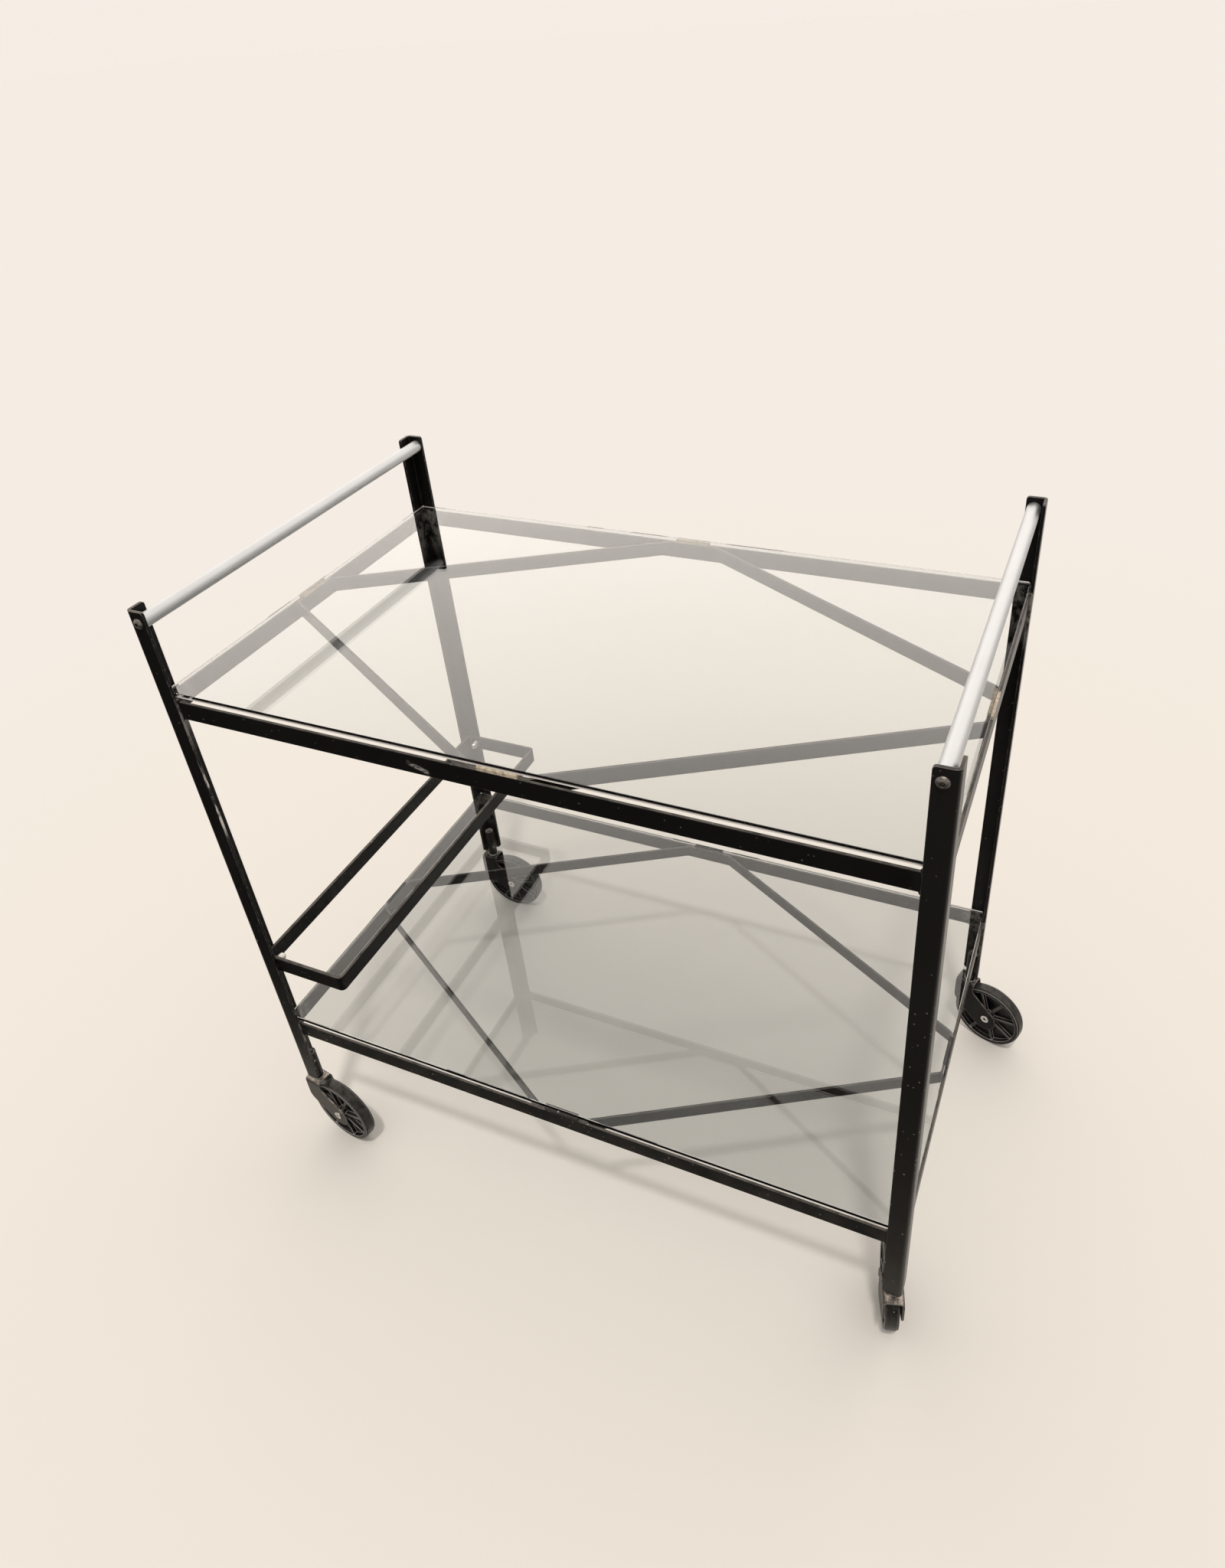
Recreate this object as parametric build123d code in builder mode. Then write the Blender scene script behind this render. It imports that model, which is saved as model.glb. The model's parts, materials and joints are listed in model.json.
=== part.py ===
from build123d import *
import math
import os

# Serving cart: four angle-steel posts, two flat-bar shelf frames with diamond braces, two glass
# shelves on rubber pads, round push bars, a flat-bar bottle rail and four swivel casters.
# Millimetres. X runs along the cart, -Y is its front, +Z is up, and the origin lies on the
# floor below the middle of the frame.

# Frame
LENGTH = 750.0
DEPTH = 455.0
POST_LENGTH = 670.0
POST_LEG = 20.0
POST_WALL = 3.0
POST_INNER_BEND = 2.0
POST_TOP_ROUND = 3.0
POST_FOOT_CHAMFER = 4.0
RAIL_HEIGHT = 20.0
RAIL_THICK = 3.0
RAIL_EDGE_ROUND = 0.6
TOP_SHELF_DROP = 99.0
LOWER_SHELF_RISE = 103.0

# Braces, glass and its pads
BRACE_HEIGHT = 16.0
BRACE_THICK = 2.5
BRACE_FLAT = 58.0
BRACE_INNER_BEND = 3.0
GLASS_THICK = 5.0
GLASS_GAP = 2.0
GLASS_CORNER = 2.5
GLASS_ARRIS = 0.5
PAD_LENGTH = 40.0
PAD_THICK = 3.5
PAD_END_ROUND = 1.0

# Push bars and their screws
HANDLE_DIA = 14.0
HANDLE_GAP = 2.0
HANDLE_DROP = 12.0
SCREW_DIA = 6.0
SCREW_GRIP = 18.0
SCREW_HEAD_DIA = 10.5
SCREW_HEAD_HEIGHT = 3.3
SCREW_HEAD_RIM = 0.8
SCREW_HEX = 4.0
SCREW_HEX_DEPTH = 2.0
SCREW_HOLE_GAP = 0.3
SCREW_END_GAP = 2.0

# Bottle rail with its weld studs and cap nuts
BOTTLE_RAIL_REACH = 109.0
BOTTLE_RAIL_HEIGHT = 20.0
BOTTLE_RAIL_THICK = 4.0
BOTTLE_RAIL_POST_BEND = 5.0
BOTTLE_RAIL_FREE_BEND = 2.0
BOTTLE_RAIL_EDGE_ROUND = 0.6
BOTTLE_RAIL_RISE = 216.0
STUD_DIA = 6.0
STUD_END_GAP = 1.0
NUT_HEX = 10.0
NUT_HEX_HEIGHT = 5.0
NUT_DOME_DIA = 9.5
NUT_HEIGHT = 12.0
NUT_BORE_DEPTH = 8.0

# Caster sockets, sleeves and stems
SOCKET_DIA = 13.0
SOCKET_WALL = 1.25
SOCKET_LENGTH = 44.5
SOCKET_DROP = 6.5
SOCKET_HOLE_DIA = 4.0
SOCKET_HOLE_DOWN = 13.0
SOCKET_HOLE_TURN = 20.0
WELD_GAP = 0.1
SLEEVE_SHORT = 1.0
STEM_DIA = 8.0
STEM_LENGTH = 36.0
STEM_TIP = 1.5
SPIGOT_DIA = 5.5
SPIGOT_HEAD_HEIGHT = 2.0
SPIGOT_HEAD_GAP = 0.25
WASHER_DIA = 14.0
WASHER_THICK = 2.0

# Forks
TRAIL = 32.0
FORK_SHEET = 2.0
FORK_INNER_BEND = 4.0
CROWN_FRONT = 14.0
CROWN_REAR = 10.0
CROWN_GAP = 4.7
CHEEK_FRONT_DROP = 35.0
CHEEK_FRONT_ROUND = 15.0
CHEEK_REAR_DROP = 11.5
CHEEK_REAR_ROUND = 12.0
LOBE_RADIUS = 16.0
LOBE_BACK = 2.0
LOBE_DROP = 2.5

# Wheels, tyres and axles
WHEEL_DIA = 90.0
TYRE_THICK = 3.0
TYRE_WIDTH = 11.0
TYRE_EDGE_ROUND = 1.0
LIP_DROP = 1.2
LIP_WIDTH = 2.0
RIM_THICK = 2.5
WEB_THICK = 3.0
HUB_DIA = 18.0
HUB_WIDTH = 17.0
HUB_PLAY = 0.5
RIB_COUNT = 8
RIB_THICK = 2.6
RIB_SETBACK = 1.0
RIB_ROOT = 1.0
RIB_TURN = 16.0
AXLE_DIA = 8.0
AXLE_BORE = 4.0
AXLE_HEAD_DIA = 10.5
AXLE_HEAD_HEIGHT = 1.5

# Radial clearances: a turning fit, and a fit that is pressed or riveted tight
RUNNING_FIT = 0.05
TIGHT_FIT = 0.02

# Corners as signs of X and Y
CORNERS = {
    "front_left": (-1, -1),
    "front_right": (1, -1),
    "back_left": (-1, 1),
    "back_right": (1, 1),
}

# The way each caster trails at rest, in degrees from +X
FRONT_LEFT_TURN = -9.0
FRONT_RIGHT_TURN = 106.0
BACK_LEFT_TURN = 0.0
BACK_RIGHT_TURN = -18.0
caster_turn = {
    "front_left": FRONT_LEFT_TURN,
    "front_right": FRONT_RIGHT_TURN,
    "back_left": BACK_LEFT_TURN,
    "back_right": BACK_RIGHT_TURN,
}

# Heights
wheel_radius = WHEEL_DIA / 2
tyre_rise_at_crown = math.sqrt(wheel_radius**2 - (TRAIL - CROWN_REAR) ** 2)
axle_z = wheel_radius
crown_z = axle_z + tyre_rise_at_crown + CROWN_GAP + FORK_SHEET
socket_foot = crown_z + WASHER_THICK
post_foot = socket_foot + SOCKET_DROP
post_top = post_foot + POST_LENGTH
shelf_z = {"top": post_top - TOP_SHELF_DROP, "lower": post_foot + LOWER_SHELF_RISE}
handle_z = post_top - HANDLE_DROP
bottle_rail_z = post_foot + BOTTLE_RAIL_RISE - BOTTLE_RAIL_HEIGHT

# Plan: half sizes to the inside of the posts' legs and to the inside of the rails
inside_x = LENGTH / 2 - POST_WALL
inside_y = DEPTH / 2 - POST_WALL
rail_inside_x = inside_x - RAIL_THICK
rail_inside_y = inside_y - RAIL_THICK
handle_x = inside_x - HANDLE_GAP - HANDLE_DIA / 2
socket_inset = POST_WALL + WELD_GAP + SOCKET_DIA / 2
bottle_rail_end = BOTTLE_RAIL_REACH - inside_x
stud_x = -LENGTH / 2 + POST_LEG - STUD_DIA / 2

# Caster section
socket_bore = SOCKET_DIA / 2 - SOCKET_WALL
fork_inside = HUB_WIDTH / 2 + HUB_PLAY
fork_outside = fork_inside + FORK_SHEET
spigot_head = fork_inside - FORK_INNER_BEND - SPIGOT_HEAD_GAP
groove_radius = wheel_radius - TYRE_THICK
rim_inside = groove_radius - RIM_THICK
rim_half_width = TYRE_WIDTH / 2 + LIP_WIDTH
lip_radius = wheel_radius - LIP_DROP

os.makedirs("parts", exist_ok=True)


def write(piece, name):
    """Label a finished piece and write it under its name."""
    piece.part.label = name
    export_step(piece.part, f"parts/{name}.step")


def tangent_point(point, centre, radius, turn):
    """Where a line from point touches a circle; turn is +1 or -1 for the two sides."""
    dx = centre[0] - point[0]
    dy = centre[1] - point[1]
    distance = math.hypot(dx, dy)
    angle = math.atan2(dy, dx) + turn * math.asin(radius / distance)
    reach = math.sqrt(distance**2 - radius**2)
    return (point[0] + reach * math.cos(angle), point[1] + reach * math.sin(angle))


def across(x, y, z, sign_y):
    """Plane square to Y at a point, facing outwards on the side that sign_y names."""
    return Plane(origin=(x, y, z), x_dir=(1, 0, 0), z_dir=(0, sign_y, 0))


# Posts: a bent angle on each corner, with rounded free top corners, chamfered feet and a screw hole
for corner, (sx, sy) in CORNERS.items():
    upward = sx * sy
    section_plane = Plane(
        origin=(sx * LENGTH / 2, sy * DEPTH / 2, post_foot),
        x_dir=(-sx, 0, 0),
        z_dir=(0, 0, upward),
    )
    with BuildPart() as post:
        with BuildSketch(section_plane):
            with BuildLine():
                FilletPolyline(
                    (0, 0),
                    (POST_LEG, 0),
                    (POST_LEG, POST_WALL),
                    (POST_WALL, POST_WALL),
                    (POST_WALL, POST_LEG),
                    (0, POST_LEG),
                    radius=[POST_INNER_BEND + POST_WALL, 0, 0, POST_INNER_BEND, 0, 0],
                    close=True,
                )
            make_face()
        extrude(amount=upward * POST_LENGTH)
        free_top = [
            post.edges().filter_by(way).group_by(Axis.Z)[-1].sort_by(SortBy.LENGTH)[0]
            for way in (Axis.X, Axis.Y)
        ]
        fillet(free_top, radius=POST_TOP_ROUND)
        free_foot = [
            post.edges().filter_by(way).group_by(Axis.Z)[0].sort_by(SortBy.LENGTH)[0]
            for way in (Axis.X, Axis.Y)
        ]
        chamfer(free_foot, length=POST_FOOT_CHAMFER)
        with BuildSketch(across(sx * handle_x, sy * DEPTH / 2, handle_z, sy)):
            Circle(SCREW_DIA / 2 + SCREW_HOLE_GAP)
        extrude(amount=-POST_WALL, mode=Mode.SUBTRACT)
    write(post, f"post_{corner}")

# Rails: rolled flat bar on edge behind the posts' legs; the side rails butt between the long ones
long_rail = 2 * (inside_x - POST_INNER_BEND)
side_rail = 2 * rail_inside_y
for shelf, rail_top in shelf_z.items():
    rail_mid = rail_top - RAIL_HEIGHT / 2
    for side, sign in {"front": -1, "back": 1}.items():
        rail_y = sign * (inside_y - RAIL_THICK / 2)
        with BuildPart() as rail:
            with BuildSketch(Plane.YZ.offset(-long_rail / 2)):
                with Locations((rail_y, rail_mid)):
                    RectangleRounded(RAIL_THICK, RAIL_HEIGHT, RAIL_EDGE_ROUND)
            extrude(amount=long_rail)
        write(rail, f"{shelf}_rail_{side}")
    for side, sign in {"left": -1, "right": 1}.items():
        rail_x = sign * (inside_x - RAIL_THICK / 2)
        with BuildPart() as rail:
            with BuildSketch(Plane.XZ.offset(-side_rail / 2)):
                with Locations((rail_x, rail_mid)):
                    RectangleRounded(RAIL_THICK, RAIL_HEIGHT, RAIL_EDGE_ROUND)
            extrude(amount=side_rail)
        write(rail, f"{shelf}_rail_{side}")

# Braces: one strip on edge, bent into a diamond whose four flats lie against the rails' middles
half_flat = BRACE_FLAT / 2
for shelf, rail_top in shelf_z.items():
    with BuildPart() as brace:
        with BuildSketch(Plane.XY.offset(rail_top - BRACE_HEIGHT)):
            with BuildLine():
                FilletPolyline(
                    (half_flat, -rail_inside_y),
                    (rail_inside_x, -half_flat),
                    (rail_inside_x, half_flat),
                    (half_flat, rail_inside_y),
                    (-half_flat, rail_inside_y),
                    (-rail_inside_x, half_flat),
                    (-rail_inside_x, -half_flat),
                    (-half_flat, -rail_inside_y),
                    radius=BRACE_INNER_BEND + BRACE_THICK,
                    close=True,
                )
            make_face()
            offset(amount=-BRACE_THICK, mode=Mode.SUBTRACT)
        extrude(amount=BRACE_HEIGHT)
    write(brace, f"{shelf}_brace")

# Glass shelves on four pads each, which lie on the rails and the braces' flats
pad_width = RAIL_THICK + BRACE_THICK
pad_x = inside_x - pad_width / 2
pad_y = inside_y - pad_width / 2
for shelf, rail_top in shelf_z.items():
    with BuildPart() as pads:
        with BuildSketch(Plane.XY.offset(rail_top)):
            with Locations((0, -pad_y), (0, pad_y)):
                RectangleRounded(PAD_LENGTH, pad_width, PAD_END_ROUND)
            with Locations((-pad_x, 0), (pad_x, 0)):
                RectangleRounded(pad_width, PAD_LENGTH, PAD_END_ROUND)
        extrude(amount=PAD_THICK)
    write(pads, f"{shelf}_glass_pads")

    with BuildPart() as glass:
        with BuildSketch(Plane.XY.offset(rail_top + PAD_THICK)):
            RectangleRounded(2 * (inside_x - GLASS_GAP), 2 * (inside_y - GLASS_GAP), GLASS_CORNER)
        extrude(amount=GLASS_THICK)
        chamfer(glass.faces().filter_by(Axis.Z).edges(), length=GLASS_ARRIS)
    write(glass, f"{shelf}_glass")

# Push bars: round bar between the front and back posts, drilled at both ends for the screws
screw_depth = SCREW_GRIP - POST_WALL + SCREW_END_GAP
for side, sign in {"left": -1, "right": 1}.items():
    with BuildPart() as handle:
        with BuildSketch(across(sign * handle_x, -inside_y, handle_z, -1)):
            Circle(HANDLE_DIA / 2)
        extrude(amount=-2 * inside_y)
        for end in (-1, 1):
            with BuildSketch(across(sign * handle_x, end * inside_y, handle_z, end)):
                Circle(SCREW_DIA / 2 + TIGHT_FIT)
            extrude(amount=-screw_depth, mode=Mode.SUBTRACT)
    write(handle, f"handle_{side}")

# Button-head screws with a hex socket, one through each post into the end of a push bar
head_radius = SCREW_HEAD_DIA / 2
dome_height = SCREW_HEAD_HEIGHT - SCREW_HEAD_RIM
dome_radius = (head_radius**2 + dome_height**2) / (2 * dome_height)
with BuildPart() as handle_screws:
    for sx, sy in CORNERS.values():
        seat = Vector(sx * handle_x, sy * DEPTH / 2, handle_z)
        with BuildSketch(Plane(origin=seat, x_dir=(1, 0, 0), z_dir=(0, 0, sy))):
            with BuildLine():
                Polyline(
                    (0, SCREW_HEAD_HEIGHT),
                    (0, -SCREW_GRIP),
                    (SCREW_DIA / 2, -SCREW_GRIP),
                    (SCREW_DIA / 2, 0),
                    (head_radius, 0),
                    (head_radius, SCREW_HEAD_RIM),
                )
                RadiusArc((head_radius, SCREW_HEAD_RIM), (0, SCREW_HEAD_HEIGHT), -dome_radius)
            make_face()
        revolve(axis=Axis(seat, (0, sy, 0)))
        with BuildSketch(across(seat.X, seat.Y + sy * SCREW_HEAD_HEIGHT, seat.Z, sy)):
            RegularPolygon(SCREW_HEX / 2, 6, major_radius=False)
        extrude(amount=-SCREW_HEX_DEPTH, mode=Mode.SUBTRACT)
write(handle_screws, "handle_screws")

# Bottle rail: a closed flat-bar ring at the left end, between the legs of the two left posts; its free
# corners are bent tighter than those in the posts
post_bend = BOTTLE_RAIL_POST_BEND + BOTTLE_RAIL_THICK
free_bend = BOTTLE_RAIL_FREE_BEND + BOTTLE_RAIL_THICK
stud_z = bottle_rail_z + BOTTLE_RAIL_HEIGHT / 2
with BuildPart() as bottle_rail:
    with BuildSketch(Plane.XY.offset(bottle_rail_z)):
        with BuildLine():
            FilletPolyline(
                (-inside_x, -inside_y),
                (bottle_rail_end, -inside_y),
                (bottle_rail_end, inside_y),
                (-inside_x, inside_y),
                radius=[post_bend, free_bend, free_bend, post_bend],
                close=True,
            )
        make_face()
        offset(amount=-BOTTLE_RAIL_THICK, mode=Mode.SUBTRACT)
    extrude(amount=BOTTLE_RAIL_HEIGHT)
    fillet(bottle_rail.faces().filter_by(Axis.Z).edges(), radius=BOTTLE_RAIL_EDGE_ROUND)
    for sy in (-1, 1):
        with BuildSketch(across(stud_x, sy * inside_y, stud_z, sy)):
            Circle(STUD_DIA / 2 + SCREW_HOLE_GAP)
        extrude(amount=-BOTTLE_RAIL_THICK, mode=Mode.SUBTRACT)
write(bottle_rail, "bottle_rail")

# Weld studs on the left posts' legs
with BuildPart() as bottle_rail_studs:
    for sy in (-1, 1):
        with BuildSketch(across(stud_x, sy * inside_y, stud_z, sy)):
            Circle(STUD_DIA / 2)
        extrude(amount=-(BOTTLE_RAIL_THICK + NUT_BORE_DEPTH - STUD_END_GAP))
write(bottle_rail_studs, "bottle_rail_studs")

# Cap nuts that clamp the bottle rail on the studs: a hexagon under a round dome, with a blind bore
nut_dome = NUT_DOME_DIA / 2
dome_start = NUT_HEIGHT - nut_dome
with BuildPart() as bottle_rail_nuts:
    for sy in (-1, 1):
        seat = Vector(stud_x, sy * (inside_y - BOTTLE_RAIL_THICK), stud_z)
        seat_plane = across(seat.X, seat.Y, seat.Z, sy)
        with BuildSketch(seat_plane):
            RegularPolygon(NUT_HEX / 2, 6, major_radius=False, rotation=30)
        extrude(amount=-NUT_HEX_HEIGHT)
        with BuildSketch(Plane(origin=seat, x_dir=(1, 0, 0), z_dir=(0, 0, -sy))):
            with BuildLine():
                Polyline((0, NUT_HEIGHT), (0, 0), (nut_dome, 0), (nut_dome, dome_start))
                RadiusArc((nut_dome, dome_start), (0, NUT_HEIGHT), -nut_dome)
            make_face()
        revolve(axis=Axis(seat, (0, sy, 0)))
        with BuildSketch(seat_plane):
            Circle(STUD_DIA / 2 + TIGHT_FIT)
        extrude(amount=-NUT_BORE_DEPTH, mode=Mode.SUBTRACT)
write(bottle_rail_nuts, "bottle_rail_nuts")

# Casters, each in its own planes: u is the way it trails, v lies along the axle
for corner, (sx, sy) in CORNERS.items():
    swivel_x = sx * (LENGTH / 2 - socket_inset)
    swivel_y = sy * (DEPTH / 2 - socket_inset)
    heading = math.radians(caster_turn[corner])
    u = Vector(math.cos(heading), math.sin(heading), 0)
    v = Vector(-math.sin(heading), math.cos(heading), 0)
    swivel = Vector(swivel_x, swivel_y, 0)
    axle = swivel + u * TRAIL + Vector(0, 0, axle_z)
    axle_line = Axis(axle, v)
    swivel_line = Axis(swivel, (0, 0, 1))
    side_plane = Plane(origin=swivel, x_dir=u, z_dir=-v)
    crown_section = Plane(origin=swivel, x_dir=v, z_dir=u)
    axle_section = Plane(origin=axle, x_dir=v, z_dir=u)
    wheel_side = Plane(origin=axle, x_dir=u, z_dir=-v)

    # Socket: a short tube in the angle of the post's foot, with a cross hole past the end of the post's leg
    socket_plane = Plane(origin=(swivel_x, swivel_y, socket_foot))
    hole_turn = math.radians(SOCKET_HOLE_TURN)
    hole_way = Vector(-sx * math.cos(hole_turn), sy * math.sin(hole_turn), 0)
    hole_centre = (swivel_x, swivel_y, socket_foot + SOCKET_LENGTH - SOCKET_HOLE_DOWN)
    with BuildPart() as socket:
        with BuildSketch(socket_plane):
            Circle(SOCKET_DIA / 2)
            Circle(socket_bore, mode=Mode.SUBTRACT)
        extrude(amount=SOCKET_LENGTH)
        with BuildSketch(Plane(origin=hole_centre, x_dir=(0, 0, 1), z_dir=hole_way)):
            Circle(SOCKET_HOLE_DIA / 2)
        extrude(amount=SOCKET_DIA, mode=Mode.SUBTRACT)
    write(socket, f"caster_socket_{corner}")

    # Sleeve: the bush inside the socket that the stem turns in
    with BuildPart() as sleeve:
        with BuildSketch(socket_plane):
            Circle(socket_bore - TIGHT_FIT)
            Circle(STEM_DIA / 2 + RUNNING_FIT, mode=Mode.SUBTRACT)
        extrude(amount=SOCKET_LENGTH - SLEEVE_SHORT)
    write(sleeve, f"stem_sleeve_{corner}")

    # Stem: the swivel pin, whose spigot is riveted under the fork's crown, with a chamfered tip
    with BuildPart() as stem:
        with BuildSketch(side_plane):
            with BuildLine():
                Polyline(
                    (0, crown_z - FORK_SHEET - SPIGOT_HEAD_HEIGHT),
                    (spigot_head, crown_z - FORK_SHEET - SPIGOT_HEAD_HEIGHT),
                    (spigot_head, crown_z - FORK_SHEET),
                    (SPIGOT_DIA / 2, crown_z - FORK_SHEET),
                    (SPIGOT_DIA / 2, crown_z),
                    (STEM_DIA / 2, crown_z),
                    (STEM_DIA / 2, socket_foot + STEM_LENGTH - STEM_TIP),
                    (STEM_DIA / 2 - STEM_TIP, socket_foot + STEM_LENGTH),
                    (0, socket_foot + STEM_LENGTH),
                    close=True,
                )
            make_face()
        revolve(axis=swivel_line)
    write(stem, f"caster_stem_{corner}")

    # Thrust washer between the fork's crown and the socket
    with BuildPart() as washer:
        with BuildSketch(Plane(origin=(swivel_x, swivel_y, crown_z))):
            Circle(WASHER_DIA / 2)
            Circle(STEM_DIA / 2 + RUNNING_FIT, mode=Mode.SUBTRACT)
        extrude(amount=WASHER_THICK)
    write(washer, f"caster_washer_{corner}")

    # Fork: sheet bent to an upturned U with round shoulders, cut to a teardrop seen from the side
    lobe = (TRAIL - LOBE_BACK, axle_z - LOBE_DROP)
    front_knee = (-CROWN_FRONT, crown_z - CHEEK_FRONT_DROP)
    rear_knee = (CROWN_REAR, crown_z - CHEEK_REAR_DROP)
    front_touch = tangent_point(front_knee, lobe, LOBE_RADIUS, -1)
    rear_touch = tangent_point(rear_knee, lobe, LOBE_RADIUS, 1)
    away = math.atan2(lobe[1] - front_knee[1], lobe[0] - front_knee[0])
    lobe_end = (lobe[0] + LOBE_RADIUS * math.cos(away), lobe[1] + LOBE_RADIUS * math.sin(away))
    with BuildPart() as fork:
        with BuildSketch(crown_section):
            with BuildLine():
                FilletPolyline(
                    (-fork_outside, 0),
                    (-fork_outside, crown_z),
                    (fork_outside, crown_z),
                    (fork_outside, 0),
                    (fork_inside, 0),
                    (fork_inside, crown_z - FORK_SHEET),
                    (-fork_inside, crown_z - FORK_SHEET),
                    (-fork_inside, 0),
                    radius=[
                        0,
                        FORK_INNER_BEND + FORK_SHEET,
                        FORK_INNER_BEND + FORK_SHEET,
                        0,
                        0,
                        FORK_INNER_BEND,
                        FORK_INNER_BEND,
                        0,
                    ],
                    close=True,
                )
            make_face()
        extrude(amount=TRAIL + wheel_radius, both=True)
        with BuildSketch(side_plane):
            with BuildLine():
                FilletPolyline(
                    front_touch,
                    front_knee,
                    (-CROWN_FRONT, crown_z),
                    (CROWN_REAR, crown_z),
                    rear_knee,
                    rear_touch,
                    radius=[CHEEK_FRONT_ROUND, 0, 0, CHEEK_REAR_ROUND],
                )
                ThreePointArc(rear_touch, lobe_end, front_touch)
            make_face()
            with Locations((TRAIL, axle_z)):
                Circle(AXLE_DIA / 2 + TIGHT_FIT, mode=Mode.SUBTRACT)
        extrude(amount=fork_outside, both=True, mode=Mode.INTERSECT)
        with BuildSketch(Plane(origin=(swivel_x, swivel_y, crown_z))):
            Circle(SPIGOT_DIA / 2 + TIGHT_FIT)
        extrude(amount=-FORK_SHEET, mode=Mode.SUBTRACT)
    write(fork, f"caster_fork_{corner}")

    # Axle: a hollow rivet through both cheeks, headed on the outside
    rivet_end = fork_outside + AXLE_HEAD_HEIGHT
    with BuildPart() as rivet:
        with BuildSketch(axle_section):
            with BuildLine():
                Polyline(
                    (-rivet_end, AXLE_BORE / 2),
                    (-rivet_end, AXLE_HEAD_DIA / 2),
                    (-fork_outside, AXLE_HEAD_DIA / 2),
                    (-fork_outside, AXLE_DIA / 2),
                    (fork_outside, AXLE_DIA / 2),
                    (fork_outside, AXLE_HEAD_DIA / 2),
                    (rivet_end, AXLE_HEAD_DIA / 2),
                    (rivet_end, AXLE_BORE / 2),
                    close=True,
                )
            make_face()
        revolve(axis=axle_line)
    write(rivet, f"axle_{corner}")

    # Wheel: hub, thin web, ribs on both sides and a rim whose two lips hold the tyre
    with BuildPart() as wheel:
        with BuildSketch(axle_section):
            with BuildLine():
                Polyline(
                    (-HUB_WIDTH / 2, AXLE_DIA / 2 + RUNNING_FIT),
                    (-HUB_WIDTH / 2, HUB_DIA / 2),
                    (-WEB_THICK / 2, HUB_DIA / 2),
                    (-WEB_THICK / 2, rim_inside),
                    (-rim_half_width, rim_inside),
                    (-rim_half_width, lip_radius),
                    (-TYRE_WIDTH / 2, lip_radius),
                    (-TYRE_WIDTH / 2, groove_radius),
                    (TYRE_WIDTH / 2, groove_radius),
                    (TYRE_WIDTH / 2, lip_radius),
                    (rim_half_width, lip_radius),
                    (rim_half_width, rim_inside),
                    (WEB_THICK / 2, rim_inside),
                    (WEB_THICK / 2, HUB_DIA / 2),
                    (HUB_WIDTH / 2, HUB_DIA / 2),
                    (HUB_WIDTH / 2, AXLE_DIA / 2 + RUNNING_FIT),
                    close=True,
                )
            make_face()
        revolve(axis=axle_line)
        with BuildSketch(wheel_side):
            with PolarLocations((HUB_DIA / 2 + rim_inside) / 2, RIB_COUNT, start_angle=RIB_TURN):
                Rectangle(rim_inside - HUB_DIA / 2 + 2 * RIB_ROOT, RIB_THICK)
        extrude(amount=rim_half_width - RIB_SETBACK, both=True)
    write(wheel, f"wheel_{corner}")

    # Tyre: a band with rounded shoulders, seated in the groove between the lips
    tyre_half_width = TYRE_WIDTH / 2 - TIGHT_FIT
    with BuildPart() as tyre:
        with BuildSketch(axle_section):
            with BuildLine():
                FilletPolyline(
                    (-tyre_half_width, groove_radius + TIGHT_FIT),
                    (-tyre_half_width, wheel_radius),
                    (tyre_half_width, wheel_radius),
                    (tyre_half_width, groove_radius + TIGHT_FIT),
                    radius=[0, TYRE_EDGE_ROUND, TYRE_EDGE_ROUND, 0],
                    close=True,
                )
            make_face()
        revolve(axis=axle_line)
    write(tyre, f"tyre_{corner}")
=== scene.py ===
# %% [markdown]
# # A serving cart of black steel, smoked glass and bare aluminium
# The cart's solids come from the CAD model, already the right size and in the right place.
# This lesson dresses them: a camera at the picture's viewpoint, a finish for each material, the
# weld beads that hold the frame together, and a pale studio floor with soft light.

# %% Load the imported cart
import json

import bmesh
import bpy
import numpy as np
from mathutils import Matrix, Vector


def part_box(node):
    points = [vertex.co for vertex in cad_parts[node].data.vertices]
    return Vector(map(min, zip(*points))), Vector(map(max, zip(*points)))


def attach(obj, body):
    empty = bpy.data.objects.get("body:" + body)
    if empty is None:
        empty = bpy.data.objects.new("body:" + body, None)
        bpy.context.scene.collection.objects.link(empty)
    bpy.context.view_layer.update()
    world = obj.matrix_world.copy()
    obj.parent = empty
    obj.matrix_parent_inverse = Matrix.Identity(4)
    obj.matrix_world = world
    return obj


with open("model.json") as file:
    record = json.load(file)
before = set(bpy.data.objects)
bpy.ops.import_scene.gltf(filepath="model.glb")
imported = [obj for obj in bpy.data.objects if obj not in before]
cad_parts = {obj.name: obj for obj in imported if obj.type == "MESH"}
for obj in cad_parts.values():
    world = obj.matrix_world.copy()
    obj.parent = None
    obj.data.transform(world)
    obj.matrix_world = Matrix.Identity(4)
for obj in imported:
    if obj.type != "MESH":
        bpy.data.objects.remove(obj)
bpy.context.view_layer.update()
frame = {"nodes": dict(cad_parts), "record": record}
nodes = frame["nodes"]
MM = 0.001

# %% [markdown]
# ## The camera
# The picture was taken at standing height, from the cart's right front corner, with a wide lens
# that looks down at the shelves. The camera could be placed by eye, but straight edges forgive
# nothing, so its place was worked out from the corners of the posts, rails and glass. The
# optical axis doesn't meet the middle of the frame, and the camera's shift stands for that.

# %% Place the camera
EYE = Vector((0.43882, -0.80912, 1.21695))
LOOK = Vector((-0.36734, 0.74506, -0.55672))
RIGHT = Vector((0.91429, 0.39912, -0.06912))
FRAME_WIDTH, FRAME_HEIGHT = 1600, 2048
FOCAL_PIXELS = 1403.8
AXIS_X, AXIS_Y = 850.8, 910.9
SENSOR = 36.0
FAR_CLIP = 60.0

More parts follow.
